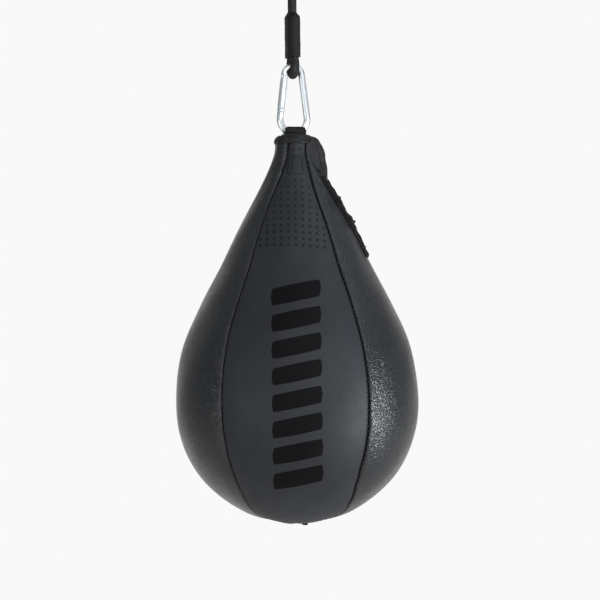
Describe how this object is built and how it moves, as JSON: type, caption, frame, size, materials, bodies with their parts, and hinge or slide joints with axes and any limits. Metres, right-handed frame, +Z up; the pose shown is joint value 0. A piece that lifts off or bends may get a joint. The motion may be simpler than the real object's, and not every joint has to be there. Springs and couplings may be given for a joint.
{
  "type": "speed bag",
  "caption": "Pear-shaped sewn leather speed bag hanging by a leather tab from a zinc snap hook, a looped cord with a sleeve and a ceiling swivel.",
  "frame": {"origin": "centre of the swivel's flat seat face, at the foot of its stud", "axes": "+Z up through the stud and along the hanging cord, front panel of the bag towards -Y, lacing towards +X"},
  "size_m": [0.18, 0.1802, 0.5152],
  "materials": {
    "zinc": "bright zinc plate",
    "steel": "plain steel",
    "cord": "woven black cord",
    "sleeve": "smooth matte sleeve",
    "crimp": "plain",
    "leather": "pebble grain, semi gloss",
    "front_leather": "pebble grain, matte",
    "thread": "waxed thread",
    "lace": "round lace",
    "lining": "cotton",
    "bladder": "latex"
  },
  "bodies": {
    "ceiling_swivel": {"swivel_housing": "zinc", "swivel_cap": "zinc"},
    "swivel_eye_body": {"swivel_eye": "zinc", "swivel_balls": "steel"},
    "cord_body": {"cord": "cord", "upper_sleeve": "sleeve", "lower_sleeve": "sleeve", "upper_crimp": "crimp", "lower_crimp": "crimp"},
    "snap_hook": {"hook_frame": "zinc", "gate_rivet": "zinc"},
    "gate": {"hook_gate": "zinc", "gate_latch_pin": "steel", "gate_plunger": "steel", "gate_spring": "steel"},
    "bag": {"hang_tab": "leather", "tab_stitches": "thread", "collar": "leather", "collar_stitches": "thread", "panel_front": "front_leather", "panel_left": "leather", "panel_rear_left": "leather", "panel_rear_right": "leather", "panel_laced": "leather", "seam_threads": "thread", "strap_stitches": "thread", "facing_front": "leather", "facing_rear": "leather", "neck_flap": "leather", "lace": "lace", "lace_tongue": "leather", "lining": "lining", "bladder": "bladder", "bladder_valve": "bladder", "bottom_knot": "thread"}
  },
  "joints": [
    {"name": "swivel_turn", "type": "hinge", "parent": "ceiling_swivel", "child": "swivel_eye_body", "pos_m": [0, 0, 0], "axis": [0, 0, 1], "continuous": true},
    {"name": "cord_swing", "type": "hinge", "parent": "swivel_eye_body", "child": "cord_body", "pos_m": [0, 0, -0.0395], "axis": [0.9613, 0.2756, 0], "range_deg": [-60, 60]},
    {"name": "hook_swing", "type": "hinge", "parent": "cord_body", "child": "snap_hook", "pos_m": [0, 0, -0.15545], "axis": [-0.2756, 0.9613, 0], "range_deg": [-45, 45]},
    {"name": "gate_open", "type": "hinge", "parent": "snap_hook", "child": "gate", "pos_m": [-0.00676, -0.00194, -0.15919], "axis": [0.2756, -0.9613, 0], "range_deg": [0, 25], "stiffness_Nm_per_rad": 0.02, "springref_deg": -17.19},
    {"name": "bag_swing", "type": "hinge", "parent": "snap_hook", "child": "bag", "pos_m": [0, 0, -0.1989], "axis": [0.9613, 0.2756, 0], "range_deg": [-25, 25]}
  ]
}
